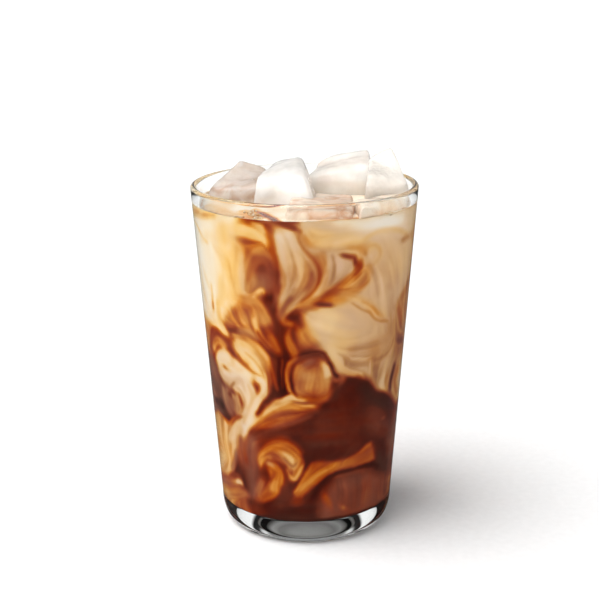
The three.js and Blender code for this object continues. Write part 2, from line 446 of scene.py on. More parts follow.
# %% Front strokes
FRONT_TABLE = """
# broad fields
area .14 .15 8 1 .05: -62 8, 62 8, 62 74, -62 74
area .93 .18 7 1 .02: -66 134, -22 134, -21 118, -23 98, -30 90, -40 86, -66 84
area .73 .85 5 1 .03: -3 134, 66 134, 66 48, 47 52, 38 58.5, 30 62, 26 67, 20 70, 12 71, 6 80, 0 90,
    -2 110
# upper left
.52 .45 3 .85 .05: -56 128 4, -48 129 4, -40 129.5 3, -32 131 2
.46 .3 1.6 .7 .05: -52 125 .8, -47 123 1.2, -43 120 1.2, -39 118.5 .8
.84 .1 3 .7 .02: -46 118 3, -38 122 4, -30 122 3
.66 .05 4 .6 .03: -50 112 1, -49 100 2.4, -46 92 2
.72 0 9 1 .02: -29 130 8, -29 116 9, -29 103 10, -28 96 8
.62 .12 5 1 .02: -21 129 6, -23.5 118 5, -24 106 5, -23 97 6
.86 .15 5 .5 0: -33 112 5, -31 104 4
.6 .05 3 .8 .05: -24 129 3, -18 129 3, -13 128 3
.56 .1 3 1 .03: -22 124 4, -17 122 7, -12 120 6
.72 0 3 .95 .03: -24 127 4, -18 126 4.5, -13 124.5 4, -10.8 122 2
.52 .35 3 1 .03: -21.5 97 3, -21.5 107 4, -19 115 5, -14.5 118.5 5, -10.5 115 4, -9.5 108 4,
    -10 100 4
.72 .75 2.5 .75 0: -22.3 118 1.5, -22.8 110 2, -22.6 102 1.5
.46 .55 4 1 .02: -15 112 9, -15.5 105 10, -16 100 9
.38 .3 3 .8 .03: -12 114 3, -11.6 108 3.4, -12 103 3
.34 .25 2 .8 .03: -20.6 107 1.4, -19 112 2, -16.5 116 2.5, -12.5 115.5 3, -10.5 110 3
.33 .1 2.2 1 .04: -13 128 2, -11.5 125 2.4, -10.2 120 3, -9 115 3, -9.2 108 3, -10.5 103 3
.14 .05 2.2 1 0: -12.5 104 3, -12.8 101.5 4, -13 99.5 2
.68 .05 1.4 1 .03: -19 101 1, -17 103.5 2, -15.2 104.8 1.6, -14.2 103 .8
.6 .1 2 .8 0: -39.8 103 .6, -39.7 98 1.2, -40.2 93 1.6, -41 89 1
.42 .15 1.6 .8 0: -39.8 96 .6, -40 92 1.4
.78 .1 2.5 .7 0: -47 110 1, -44 104 2, -41 100 1
.8 .1 2.5 .7 0: -36 120 1, -34 117 2, -30 115.5 1
.74 .05 3 .8 .03: -33 108 2, -34 100 4, -34.5 94 3.5
# rust rose patch under the golden column
.46 .5 5 .95 .03: -33 89 5, -27 93 7, -20 93 8, -17 90 6
.36 .4 3 .85 .03: -34 88 3, -30 86.5 3
.64 .05 1.8 .5 .05: -25 97 1, -24 92 2, -21 88 2.2, -17 85 1.4
.6 .1 1.4 .8 .05: -31 95 1, -28 91 1.6, -25 88.6 1.2
.34 .2 1.2 .7 0: -27.5 96 .6, -25.6 91 .9, -22 87.6 .8, -18 85.6 .5
.56 .85 3 .7 .05: -27 87 3, -20 86.5 4, -16 86 2
.7 .05 2.5 1 .04: -36 98 2, -36.3 92 3, -34.5 87 3, -31 83.5 2.4
.84 .1 4 1 .03: -48 91 4, -42 89 4, -37 86 4, -33 83 2
# fold left of centre
.62 .3 3 .9 .04: -23 100 2, -18.5 99 5, -16 95 6, -14 90 6
# left arch and what it covers
area .52 .5 5 .9 .04: -64 86, -50 88, -45 84, -46 72, -56 70, -64 72
.38 .5 4 .8 .03: -52 84 4, -48 80 4, -47 74 4
.3 .2 2.4 1 .03: -47 73 3, -45 78 3, -42.5 82.5 3, -38.5 84 2.6, -34 82 2.8, -30 79.5 2.4,
    -27.5 76 1.6, -25 73 1
.62 .1 3 1 .04: -44 74 3, -41 79 4, -37 80 4, -33 77.5 4
.88 .35 3 1 .04: -42 70 4, -36 74 7, -30 72 7, -25 70 6, -20 68 4
# creamy plume right of the arch
.73 .22 3.5 1 .05: -29 83 2, -25 80 8, -20 76.5 9, -17 71 7, -16 66 4
.86 .25 3 .8 .03: -27 80 2, -22.5 78 3.4, -19 74 3.4, -17.5 69 2
.5 .12 1.3 .7 0: -24 79 .6, -19.5 76 .9, -16.5 71 .9, -15.5 66 .6
.7 .1 2.2 .9 .03: -30 85 1.6, -24 84.5 3, -18 82 3, -14 77 2.5, -12.5 72 2
.4 .15 1.4 .8 0: -27.5 77.5 .8, -25 74 1, -21 71.5 1, -17 70 .8
# centre: dark gulf with orange veins
.18 .1 3 1 .05: -11 97 3, -8 92 5, -8 85 7, -8 76 8, -8.5 68 7, -10 61 6
.3 .1 2.4 .9 .05: -12 78 2, -12 72 3, -12.5 66 3
.47 .05 1.6 1 .12: -5.6 91 1, -6.3 87 2.4, -5 83 3.4, -3.6 79 2.4
.28 .1 1.6 .9 .05: -3.6 90 1.4, -2.4 86 1.6, -2 81 2
.45 .1 1.6 .9 .1: -9 97 1.5, -7.5 93 2.5, -4 92 2
.7 .1 1.8 1 .04: -19 94 2.4, -18 89 2.6, -15.5 85 2.4, -12.5 81.5 1.6
.28 .2 1.4 .9 0: -18 88.5 1, -16.5 86 1.2, -13.5 82.3 1.4, -10.5 79.5 1.6
.46 .1 2 .9 .08: -13.5 88 3, -11.5 84 3, -9.5 80 1.5
# twisting central column
.76 .7 2.4 1 .1: -8 130 6, -6.5 125 7, -4.5 119 9, -2.5 113 10, -3 107 9, -6 101 6, -8.5 96 3
.62 .7 2.2 .8 .14: 0 117 2.5, 1.5 112 3.5, 0 107 5, -3 102 4, -6 98 2
.84 .8 2 .8 .03: -9 127 1.6, -8 120 2.4, -7 113 2.4, -8 107 1.6
.4 .5 1.6 .7 .1: 2 113 1.4, 2 109 2.4, 0 105 2
.45 .4 2 .8 .1: -4 103 2, -7 99.5 3, -9 95 3
.6 .7 1.6 .5 .08: -6.5 126 .8, -4 119 1.6, -3.4 113 1.8, -5.6 106 1.4, -8 101 .8
.6 .5 1.6 .6 .08: -1.5 120 .8, .6 114 1.2, 0 109 1.6, -3 104 1
.62 .3 1.6 .6 .05: -8.6 116 .8, -7.4 110 1.6, -7.8 104 1
.82 .7 1.4 .7 0: -5 124 1, -2.8 117 1.5, -1.6 111 1.5, -3.4 106 .8
# gold beside the column
.6 .3 5 .8 .05: 4 124 6, 10 123 6, 17 122 6, 22 118 5
.56 .3 4 .8 .05: 22 114 5, 20 108 6, 15 104 6, 8 101 5
.68 .15 3.5 1 .08: 0 127 5, 4 125 6, 9 124 6
.58 .05 2 .7 .06: -1 127 2, 1 123 3, 4 122 2
.52 .35 2 .9 .1: 4 120 4, 6 114 4, 5.5 108 4, 2 102 4, -3 97.5 3
.74 .65 1.6 .9 .07: 8.5 118 2, 7.8 112 3, 5.8 107 3, 3 103 2
.34 .1 1.8 .85 .04: -1.6 128.5 .9, -2 124.5 .9, 0 120.3 1, 3 116.8 1.4, 4.6 112.5 1.5, 4.2 108 1.3,
    1.5 103.5 1, -2 100 .8
# pale chunk of ice in the drink
.74 1 1.6 1 .05: 11 118.5 7, 12.5 114 9, 11.5 109.5 7, 8.5 106 3.5
.4 .8 1.2 .8 0: 11.5 118.4 .8, 14 117.4 1.4, 16 116 1
.4 .15 1.6 1 .04: 17.6 116 2.4, 18.6 113.5 3, 17 111 2
.25 .2 1 .9 0: 16.6 116 .8, 17.2 113 1
.86 .95 1.4 .7 0: 9.5 117.6 2.4, 11.5 114.5 3, 11 111 2
.52 .85 1.2 .6 0: 8.8 119 .8, 9.6 115 1, 9.4 110 1, 8 106.5 .8
.57 .45 5 .8 .03: 22 110 4, 18 106 5, 14 102 4
.29 .15 2.6 1 .05: 19 115 2, 17.6 110.5 3, 13.6 107.4 3.2, 9 104.2 3, 5.5 101.4 2.4, 2 98.6 2
.22 .3 1.6 .9 0: 11.5 118.6 .8, 14 117.6 1.8, 16.6 116.8 1.6, 17.6 114 1.4
.38 .1 1.5 .6 .03: 19.4 111 .8, 16 107.6 1.4, 11.4 104.4 1.4, 6 102 1
.44 .08 1.3 .75 .03: 23 107 .6, 18.6 104.2 1, 13 102 1.2, 7 100.6 .8
.6 .3 1.4 .6 .03: 18 106 1, 13.6 103.4 1.5, 9 101.4 1.2
.46 .12 2.6 1 .08: 17 110.5 3, 14 107 4, 10 103.5 4, 6 101 3
.62 .25 3 .8 .08: 19 107 4, 14 103 5, 9 100 4
# dark seam, and the fold to its right
.17 .6 1.8 1 .03: 3.5 99.8 1.2, 6 99.6 2, 9.5 99.2 1.4
.42 .35 1.8 .8 .05: -1 97 1, 1.5 98.5 2, 5 97.6 1.4
.66 .35 2.6 .9 .05: 11 103.5 2.4, 17 101.5 2.6, 22 98.5 2.6, 27 94 2.4, 32 90.5 1.6
.46 .5 1.1 .75 0: 16 99.5 .6, 20.5 96.2 .8, 23.5 94.6 .9, 26 92 .7, 29 90 .7, 34 88.8 .5
.5 .4 1.1 .6 0: 20 99.5 .5, 25 96.2 .6, 28.5 92.4 .6
# pale gold below the seam
.8 .35 4 1 .03: 2 94.5 6, 7 93.5 8, 12 91 8
.6 .08 4.5 .95 .04: -1.5 92 3, .5 87 6, 3 83.5 5
.72 .45 5 .8 .03: 8 86 6, 14 84 8, 20 84 6
# upper right
.9 .5 4 .9 .04: 8 131 3, 20 129 5, 30 129 5, 40 128 4
.8 .35 4 .7 .04: 8 123 4, 14 124 4, 20 124 3
.56 .35 2.2 .7 .03: 20 123.6 1, 26 125.3 2, 32 125 2.2, 38 123 2, 43 120.5 2
.5 .75 3 .7 .03: 38 119.5 2, 44 119.5 3, 50 120 4
.62 .35 1.6 .8 .05: 20 117.5 1.5, 22.5 120.3 1.6, 26 119.4 1.8, 27.3 116.3 1.6, 25.3 113.6 1.4,
    22 112.6 1
.48 .5 1.4 .7 0: 20.2 118.6 1, 21.4 117 1.2
.8 .9 1.6 .7 0: 22.4 115.6 2.5, 24 117 1.5
.66 .95 7 .8 .02: 28 116 8, 32 108 12, 34 100 10
.55 .55 6 .8 .03: 50 126 6, 52 112 6, 53 98 7, 52 84 8, 53 68 8
.5 .5 3.5 .8 .03: 39 94 1.5, 42 95.5 3, 46 97 4, 50 99 4
.3 .9 3 .7 0: 48 102 2, 49 98 3
.48 .75 7 .85 .05: 46 97 6, 46 88 10, 46 78 11, 46 70 8
.38 .5 3 .8 .03: 39.5 93.5 1.4, 41 92 2.2, 43.5 88 2.4, 46 84 2
.28 .7 4 .8 .03: 42 80 2, 45 78.6 3, 49 78 2
# tan folds down to the dark
.66 .85 4 .8 .05: 14 79 6, 22 78 8, 32 78 8
.48 .85 1.3 .7 0: 11 80 .8, 13.5 79 1.2, 15 76.5 1.4, 14.5 74 1
.5 .7 1.1 .7 0: 19 76.5 .6, 23 75.6 .8, 27.5 75.4 .8
.5 .95 1.6 .75 .03: 27 74.5 1, 31 74.4 1.4, 35 75.4 1, 38 78 .8, 39 81 .6
.48 .9 2.2 .7 .05: 28.5 73 4, 28.5 69.5 3, 29 66 1.6
.76 .75 2.6 .8 .05: 36 74 6, 34 69 6, 33 65 4
.66 .5 2 .85 .06: 36.5 67 2.4, 36 63.5 2.6, 38 60 2
.24 .8 2.4 .95 .03: 42.5 70 2.4, 41 66 3.4, 39.6 62 2.8, 39.8 58 2
.52 .55 4 .9 .04: 46 68 6, 44 62 5, 46 57 5, 50 53 5
.74 .5 1.6 .9 .05: 8 84 1.5, 10 79 2.2, 12.5 74.6 2.4, 16 71.6 1.8, 20 70 1
# orb
.58 .35 2 1 .06: 1.5 76 10, 2 71 14, 2.5 66 13, 3 63 10
.66 .55 3 .9 .05: 1 74 6, 0 69 6
.82 .45 2.2 .9 .04: 5.5 77.5 2.4, 8 74 3.6, 8.6 70 3
.36 .8 1.8 .8 .05: -1.5 75.5 1.2, 1 77 2.2, 3.6 77.6 1.6
.44 .1 2.2 .8 .08: -2 63 2, 3 61.5 3, 8 62.5 3, 10 66 2.5
.6 .12 1.4 .9 .08: -3 79 1.4, -6 76 2, -7 71 2, -6.4 66 1.6, -4.5 62.8 1
.4 .1 1 .8 .1: -8.6 78 .8, -9 72 .9, -8.8 66 .8
.5 .25 2.2 .8 .05: 10 70 2.4, 14 69 2.6, 13 66 2
.13 .2 1.1 1 0: -3 79.8 .8, 0 80.6 1, 3 81.2 .9, 6 80.8 1.1, 7.6 78.2 1.6, 9.3 75 1.4, 10.6 72 1.5,
    12.5 70 2
# dark coffee with a soft red glow
area .16 .22 3 1 .04: 8 61, 12 67, 16 69.3, 20 68.4, 24 67.2, 27 64, 30.5 60.8, 35 59, 39 56, 44 51.5,
    50 47, 64 40, 64 8, -8 8, -10 44, -6 54, 2 58
.21 .08 9 .8 .02: 2 50 8, 10 50 14, 18 50 10
.24 .4 8 .6 .02: 24 52 8, 32 50 8, 36 46 6
.1 .35 4 .8 .03: 20 66 3, 27 60 4, 34 56 4, 42 51 4
.24 .45 6 .6 .04: 28 47 5, 36 44 6, 44 40 6, 52 36 6
.5 .6 1.6 .5 0: 35 48.2 1, 37.4 48 1
.33 .55 4 .7 .03: 40 37 2, 46 35 4, 54 33 5
.12 .8 4 .8 .03: 34 34 3, 38 28 6, 46 25 8, 54 24 8
# gold tongue
.38 .22 3 .95 .14: -26 48 3, -18 51 5, -10 54 6, -2 57 5, 5 58.6 2
.55 .15 2 .95 .08: -23 49 1.4, -16 54.5 3, -9 58 4, -2 58.8 3, 4 59.3 1.4
.73 .22 1.6 1 .05: -24.5 48.5 1.5, -20 53 3.2, -15 57.6 4, -10 60.2 3.6, -5.6 61.4 2.6, -1 59.6 1.6,
    3.5 59.2 1
.84 .4 1.2 .9 .04: -9 61.6 1.2, -6 63 1.6, -3 61.8 1.2, 0 61.2 1
.42 .6 1 .8 .05: -5.4 61.3 .8, -2 60.6 1.2, 1.4 60.4 1
.4 .5 2 .5 .1: -22 44 1, -14 48.5 1.6, -6 52 1.6, 2 55 1
# left middle: dark with pale ice
area .32 1 5 1 .04: -66 71, -46 71.5, -41 68.5, -37 60, -36 50, -42 48, -50 46.5, -66 44
.12 .75 3.5 .9 .03: -50 52 2, -44 53 4, -38 52 3
.38 .5 2 .7 .05: -52 55 1, -46 55.8 2, -39 57.4 1.4
.42 .9 6 .8 .05: -50 67 7, -46 62 8
.9 .78 2.6 1 .06: -41.5 70 2, -36 66.5 6, -30 65.5 8, -24.5 63 9, -22.5 57 8, -25.5 51 6,
    -28.5 45 5, -30 41 3
.74 1 2.4 .85 .06: -40 67 2, -36 64.8 3.8, -31 65 3.6, -27 66.4 3, -25 62 2
.88 .95 1 .6 0: -38 68.6 .8, -33.6 67.4 1.2, -30 68.4 1
.62 1 1.2 .7 .04: -30.5 63.4 .8, -27.6 62.4 1.2, -25.6 58.4 1, -27 54 .8
.7 .6 1.6 .7 .06: -23.6 66.5 1, -21.6 61.5 1.8, -23 56 1.8, -26 50.5 1.4
.56 .92 3 .95 .06: -37.5 62 3, -35.5 57 8, -33.5 53 6, -31.5 51 4
.3 .5 2.4 .9 .05: -35.4 58.6 1.6, -33.6 59.4 2.2, -32 58 1.4
.76 .85 2.6 1 .04: -31 61 3, -29.4 56 4, -29.4 51 4
.58 .9 2 .7 .12: -37.5 60 1.2, -36 54.5 1.4, -34 50.5 1.2
.46 .7 1.3 .8 .06: -34 61 1.4, -32.6 63 1.4, -30 65.4 1
.8 .85 1.2 .8 0: -32.4 60 1, -31.4 58 1.6
.9 .5 1.6 .9 .05: -20 69.5 2, -16.6 67.6 3, -16.4 63.5 3.4, -20 58.6 3, -23.4 53 2.6, -26 48 2
.64 .1 1 .6 0: -18.9 63 .6, -18.2 66 .8
.52 .12 1.6 .9 .05: -15 73 1, -13.6 68 1.6, -14.5 63 1.4
.18 .25 2 1 .05: -11.5 69 2, -13 63 2.6, -17 58 2.4, -21 53 1.6
.46 .1 1.3 .9 .03: -13 75 1, -12 70 1.4, -10.6 65 1
# lower left
area .66 .5 3 1 .02: -66 43, -54 45.4, -49 47.4, -45 48.8, -41.5 48, -37 46, -33 48.5, -29.5 50.5, -28 46,
    -31 39, -34.5 32, -36 27, -42 22, -52 19, -66 18
.82 .5 2.6 .9 .05: -29.5 50 2, -31 45.5 5, -34.5 41.5 4, -38 39 2
.44 .1 1.6 .95 .04: -43 48 1, -39.6 47.2 1.8, -36 46.8 2, -33 49 1.8, -30 50.8 1.4, -27.5 51.6 1
.46 .5 7 .9 .02: -53 33 6, -47 32.5 6
.66 .35 4 .8 .06: -41 43 3, -41.5 36 4, -40 30 4, -44 25 4, -52 21 3
.62 .25 2.4 .8 .05: -36 38 2, -37 33 3, -35.4 29 2.4
.4 .95 2.6 .9 .04: -33 36 2, -34 32 2.6, -36.6 28 2.4, -38 25 2
area .42 .35 5 1 .06: -66 19, -52 19.5, -42 22, -34 24, -29 18, -27 9, -66 8
.6 .35 2.4 .9 .08: -54 17 2, -45 18 2.4, -38 20.5 2.6, -34 22 2
.86 .7 1.8 .95 .03: -35.5 21.6 1.6, -32.4 22.6 2.6, -30.4 21.4 1
.28 .3 2 .8 .03: -38 24 1, -34.6 25 1.6, -31 24.6 1.4
.55 .4 3 .8 .08: -48 13 2, -38 15.5 3, -30 18 3, -26 17.5 2
# grey-brown veil
.3 .4 5 1 .03: -29 44 4, -29.5 36 5, -28.5 28 5
.28 .8 5.5 .95 .03: -22 45 4, -24 38 7, -24.5 30 7, -24 22 6, -25 16 4
.26 .2 2.6 .8 .04: -28.5 38 2, -27.5 31 3
.2 .35 4 .8 .08: -20 44 3, -14 46 4, -6 47 4
# orange curl
.34 0 3.4 .9 .03: -17 41.5 2, -13 43.6 3, -9 44.4 3.4, -4.5 42 3.4, -1.8 38.4 3
.56 .08 2 1 .12: -20 31 2, -19.6 35 3.4, -17 38.6 4.6, -13 41.4 5, -9 41.8 5, -5.4 39.6 5,
    -3.4 36 4, -3.2 32.6 3, -5.2 29.4 3, -7.8 29.6 2.6
.5 .2 2.2 1 .08: -17 36 2, -12.6 38 4.6, -8 37 6, -5.8 34 4.4, -6 31 3
.64 .4 1.6 .9 .14: -11 39 2.6, -8 37.5 4, -6 35 4, -6.4 32 3
.38 .8 1.3 .8 .03: -9.6 37.6 .8, -7 35 1.2, -5.4 34 1, -4 35.6 .8
.66 .1 1 .9 .04: -8.6 33 1, -7.4 29.8 1.6, -4.8 28.4 1.6, -3.2 31.4 1.2, -1.2 35 1
.18 .2 1.8 .9 .03: -19.4 30 1.6, -17.8 33 1.4, -16.6 34.8 .8
# stalk
.46 0 2.2 1 .06: -15.4 34 3, -13.6 32 6, -12.4 28 6.4, -14 23.6 6, -18 20 4.6, -22.5 17.4 3
.57 .05 2.6 .9 .06: -13 28 2.4, -14.5 24 3, -12.5 22.4 2
.6 .85 1.6 .8 .03: -17 34.2 1, -15.4 34 1.8, -13.6 33.4 1
.26 .1 1.4 .9 .03: -11 34.4 .8, -9 31 1.4, -8.6 27 1.6, -10.4 22 1.4
.4 .6 3 .8 .05: -19 27 3, -21 23 4, -23 19 4
.18 .3 3 .9 .05: -9 26 3, -10 20 5, -14 15 5
# bone-shaped plume
.3 0 3.4 .9 .03: -6 21 2.6, -4 19 4, -6 17 2
area .45 .05 1.8 1 .05: -5.6 20, -2 21, 3 25.4, 9 29.8, 14 31.2, 21 31.6, 28 31.6, 32.2 31.8, 30.8 36.4,
    29 40.2, 26.4 39.8, 22.6 37, 16 35.6, 10 35.4, 5 36, 2 35.8, -.6 32, -3 27, -5.6 23
.54 .05 2.4 .9 .06: -3 23 1.6, 1 27.4 3, 5 30.6 3, 9 32.4 2
.34 .25 4 .85 .04: 20 34 3, 27 35.4 5, 29.6 36 4
# lower right
area .27 .6 6 1 .06: 4 14, 8 23, 13 27.8, 20 28.8, 28 28, 34 24.6, 44 21, 60 19, 60 9, 8 9
.3 .35 2 .7 .03: 12 28.6 1.4, 20 29 1.6, 27 28.4 1.4
.35 .45 3 .7 .08: 15 26 3, 16 20 4, 15 14 3
.33 .5 3.4 .6 .08: 26 26 4, 27 20 5, 26 14 3
.38 .1 2.6 .85 .05: 7 22 2, 9 18 3.4, 10 15.6 3
.54 .25 2 .8 .03: 15 15.4 1.4, 17.4 14.2 2
.07 .15 2 .95 0: 2 20 2, 6 26 1.6, 12 30.2 1.2, 20 30.6 1, 30 30.2 1.6, 36 27.4 2
.1 .3 3 .9 .03: -14 12 4, -4 14 5, 4 14 6
# bottom line
.06 .4 2 .9 0: -26 9.4 1.4, -10 9.8 2.4, 20 9.8 2.4, 62 9.4 1.6
.24 .95 7 .7 .05: 54 50 7, 48 38 8, 45 27 6
# froth stain at the level
.34 .55 1.6 .9 .06: -15.5 131 1, -12 131.2 1.8, -8 130.5 2, -4.6 130.2 1.4
.7 .2 1.2 .85 .12: -18 130 1, -15 128.6 2.6, -13 126 1.8
.24 .25 1.1 .95 .06: -11 131.6 1.2, -8 130.8 2, -5 129.4 2.6, -2.6 128.2 1.2
"""


def read_strokes(table):
    """Reads one stroke a line. Without the word area at its start it is a plume."""
    strokes = []
    for line in table.replace(",\n", ",").strip().splitlines():
        if line.startswith("#"):
            continue
        head, body = line.split(":")
        numbers = head.split()
        kind = numbers.pop(0) if numbers[0] == "area" else "plume"
        points = [tuple(float(v) for v in point.split()) for point in body.split(",")]
        strokes.append((kind, *[float(v) for v in numbers], points))
    return strokes


FRONT = read_strokes(FRONT_TABLE)

# Broad patches a little darker or paler: middle s, middle z, half width, half height, change of milk
SHADES = [
    (40, 80, 7, 20, -0.11), (28, 78, 8, 14, -0.08), (16, 75, 5, 5, -0.1), (5, 108, 8, 8, -0.1),
    (-8, 111, 4, 5, -0.08), (-8, 68, 4, 8, -0.12), (1, 66, 5, 9, -0.09), (-40, 58, 6, 12, -0.08),
    (-32, 57, 5, 6, -0.13), (-24, 57, 4, 5, -0.05), (32, 66, 5, 4, -0.09), (40, 60, 5, 4, -0.05),
    (48, 66, 4, 8, -0.06), (-8, 41, 5, 4, -0.14), (0, 36, 5, 4, -0.07), (49, 30, 4, 20, 0.07),
    (-49, 105, 5, 22, 0.05), (-24, 42, 4, 3, 0.09), (-32, 36, 4, 4, 0.1), (-16, 36, 3, 3, 0.08),
    (-16, 24, 4, 4, 0.08), (-45, 12, 7, 2.4, 0.09), (-43, 19, 8, 3, -0.09), (-30, 14, 5, 3, -0.08),
    (28, 127, 9, 4, 0.12), (-8, 127, 5, 3, 0.1), (48, 124, 5, 8, 0.08), (-19, 108, 4.5, 6, 0.1),
    (-16, 120, 3, 2.5, 0.06), (3, 107, 2.5, 5, 0.08), (-38, 44, 6, 10, -0.07), (-30, 55, 4, 4, -0.08),
    (34, 127, 16, 5, 0.06), (52, 24, 7, 16, 0.06), (-51, 116, 6, 14, 0.06), (-4, 112, 8, 7, -0.07),
    (-50, 76, 5, 7, 0.09), (-46, 12, 8, 4, 0.08), (-32, 40, 5, 5, 0.06), (-18, 34, 6, 6, 0.05),
    (50, 84, 5, 8, 0.05), (-22, 45, 4, 3, 0.06), (16, 112, 5, 8, -0.04), (50, 44, 5, 6, 0.05),
    (40, 66, 6, 6, -0.05), (16, 74, 4, 4, -0.06), (24, 74, 5, 8, -0.04), (-8, 70, 3, 5, -0.06),
    (-24, 12, 5, 3, 0.09), (48, 12, 5, 3, 0.08),
]
print("front strokes:", len(FRONT))

# %% [markdown]
# ## Strokes for the sides and the back
# The photo shows only the front. Round the rest, plumes of the same kinds fall from the cream at the top:
# wide and pale where they start, narrow, warm and darker where they end. Their places are random with a
# fixed seed.


# %% Plumes round the back
BACK_PLUMES = 110
SEAM_PLUMES = 30


def fallen_plume(rng, low_s, high_s):
    start = np.array([rng.uniform(low_s, high_s), rng.uniform(45, 128)])
    length = rng.uniform(16, 46)
    lean = rng.normal(0, 0.35)
    sway = rng.uniform(2, 6) * rng.choice([-1, 1])
    width = rng.uniform(2.5, 9)
    points = []
    for t in np.linspace(0, 1, 5):
        s = start[0] + lean * length * t + sway * math.sin(t * 4.2 + start[1])
        points.append((s, start[1] - length * t, width * (1 - 0.75 * t) + 0.5))
    high = (start[1] - length / 2) / 130
    milk = float(np.clip(0.12 + 0.72 * high + rng.normal(0, 0.17), 0.12, 0.95))
    haze = float(np.clip(rng.normal(0.4, 0.3), 0, 1))
    return (points, milk, haze, rng.uniform(1.6, 5), rng.uniform(0.6, 1), 0.04)


def lay_round(field, stroke, seed):
    """Lays one plume, and again one turn on, so that it closes round the glass."""
    points = stroke[0]
    for turn in (-AROUND, 0, AROUND):
        moved = [(s + turn, z, width) for s, z, width in points]
        plume(field, moved, *stroke[1:], seed)


# Broad fields of the sides and the back: the kind of stroke, its numbers and its outline
SIDE_FIELDS = [
    ("area", 0.84, 0.35, 9, 1, 0.03, [(54, 134), (180, 134), (180, 96), (120, 90), (84, 98), (54, 92)]),
    ("area", 0.60, 0.55, 12, 1, 0.04, [(54, 96), (90, 100), (130, 92), (180, 98), (180, 66), (54, 60)]),
    ("area", 0.34, 0.30, 12, 1, 0.05, [(54, 64), (100, 70), (140, 62), (180, 72), (180, 40), (54, 38)]),
]


def paint_seams(field):
    """More plumes where the front's picture meets the back's, so that no upright edge shows."""
    rng = np.random.default_rng(33)
    for k in range(SEAM_PLUMES):
        low_s = 64 if k % 2 else AROUND - 84
        lay_round(field, fallen_plume(rng, low_s, low_s + 20), 800 + k)


def paint_back(field):
    for kind, milk, haze, soft, cover, streak, points in SIDE_FIELDS:
        for turn in (-AROUND, 0):
            moved = [(s + turn, z) for s, z in points]
            STROKE[kind](field, moved, milk, haze, soft, cover, streak, 500)
    rng = np.random.default_rng(20)
    for k in range(BACK_PLUMES):
        lay_round(field, fallen_plume(rng, 60, 172), 600 + k)


print("side fields:", len(SIDE_FIELDS), "plumes:", BACK_PLUMES + SEAM_PLUMES)

# %% [markdown]
# ## Painting the sheet
# The strokes are laid on a grid of 0.375 mm, on coordinates that a few small swirls have bent, so that no
# edge is too clean. Then the picture is drawn out along the flow, which pulls each edge into silk.

# %% Drawing out along the flow
STEP = 0.375  # mm between points of the sheet
COLUMNS = round(AROUND / STEP)
SHEET_LOW, SHEET_HIGH = 8.0, 133.5
ROWS = round((SHEET_HIGH - SHEET_LOW) / STEP)


def sample(image, x, y):
    """Reads between grid points. Round the glass it closes, and up and down it holds its ends."""
    high, wide = image.shape
    xi = np.floor(x).astype(int)
    yi = np.clip(np.floor(y).astype(int), 0, high - 2)
    fx, fy = x - xi, np.clip(y - yi, 0, 1)
    a, b = xi % wide, (xi + 1) % wide
    low = image[yi, a] * (1 - fx) + image[yi, b] * fx
    top = image[yi + 1, a] * (1 - fx) + image[yi + 1, b] * fx
    return low * (1 - fy) + top * fy


def drawn_out(images, turn, length):
    """Averages images along the flow, length grid steps each way."""
    high, wide = turn[0].shape
    total = [image.copy() for image in images]
    weight = 1.0
    for way in (1, -1):
        y, x = np.mgrid[0:high, 0:wide].astype(float)
        angle = 0.5 * np.arctan2(turn[1], turn[0])
        step_x, step_y = way * np.cos(angle), way * np.sin(angle)
        for k in range(length):
            x += step_x
            y += step_y
            angle = 0.5 * np.arctan2(sample(turn[1], x, y), sample(turn[0], x, y))
            next_x, next_y = np.cos(angle), np.sin(angle)
            flip = np.where(next_x * step_x + next_y * step_y < 0, -1.0, 1.0)
            step_x, step_y = next_x * flip, next_y * flip
            share = math.exp(-2.0 * ((k + 1) / length) ** 2)
            weight += share
            for image, out in zip(images, total):
                out += share * sample(image, x, y)
    return [out / weight for out in total]


print("sheet:", COLUMNS, "by", ROWS)


# %% Painting
BASE_MILK, BASE_HAZE = 0.16, 0.2
STIRS = [(14.0, 0.07, 5), (6.0, 0.10, 6), (2.6, 0.10, 8)]  # cell in mm, reach and seed of each swirl
RIBBON = 0.046  # change of milk by broad lines along the flow
THREAD = 0.022  # and by fine ones
WISP = 0.07  # and by soft folds
TINT = 0.22  # change of haze
RIBBON_LENGTH = 30  # grid steps that lines are drawn out by, each way
SMEAR_LENGTH = 5  # and that the painted edges are


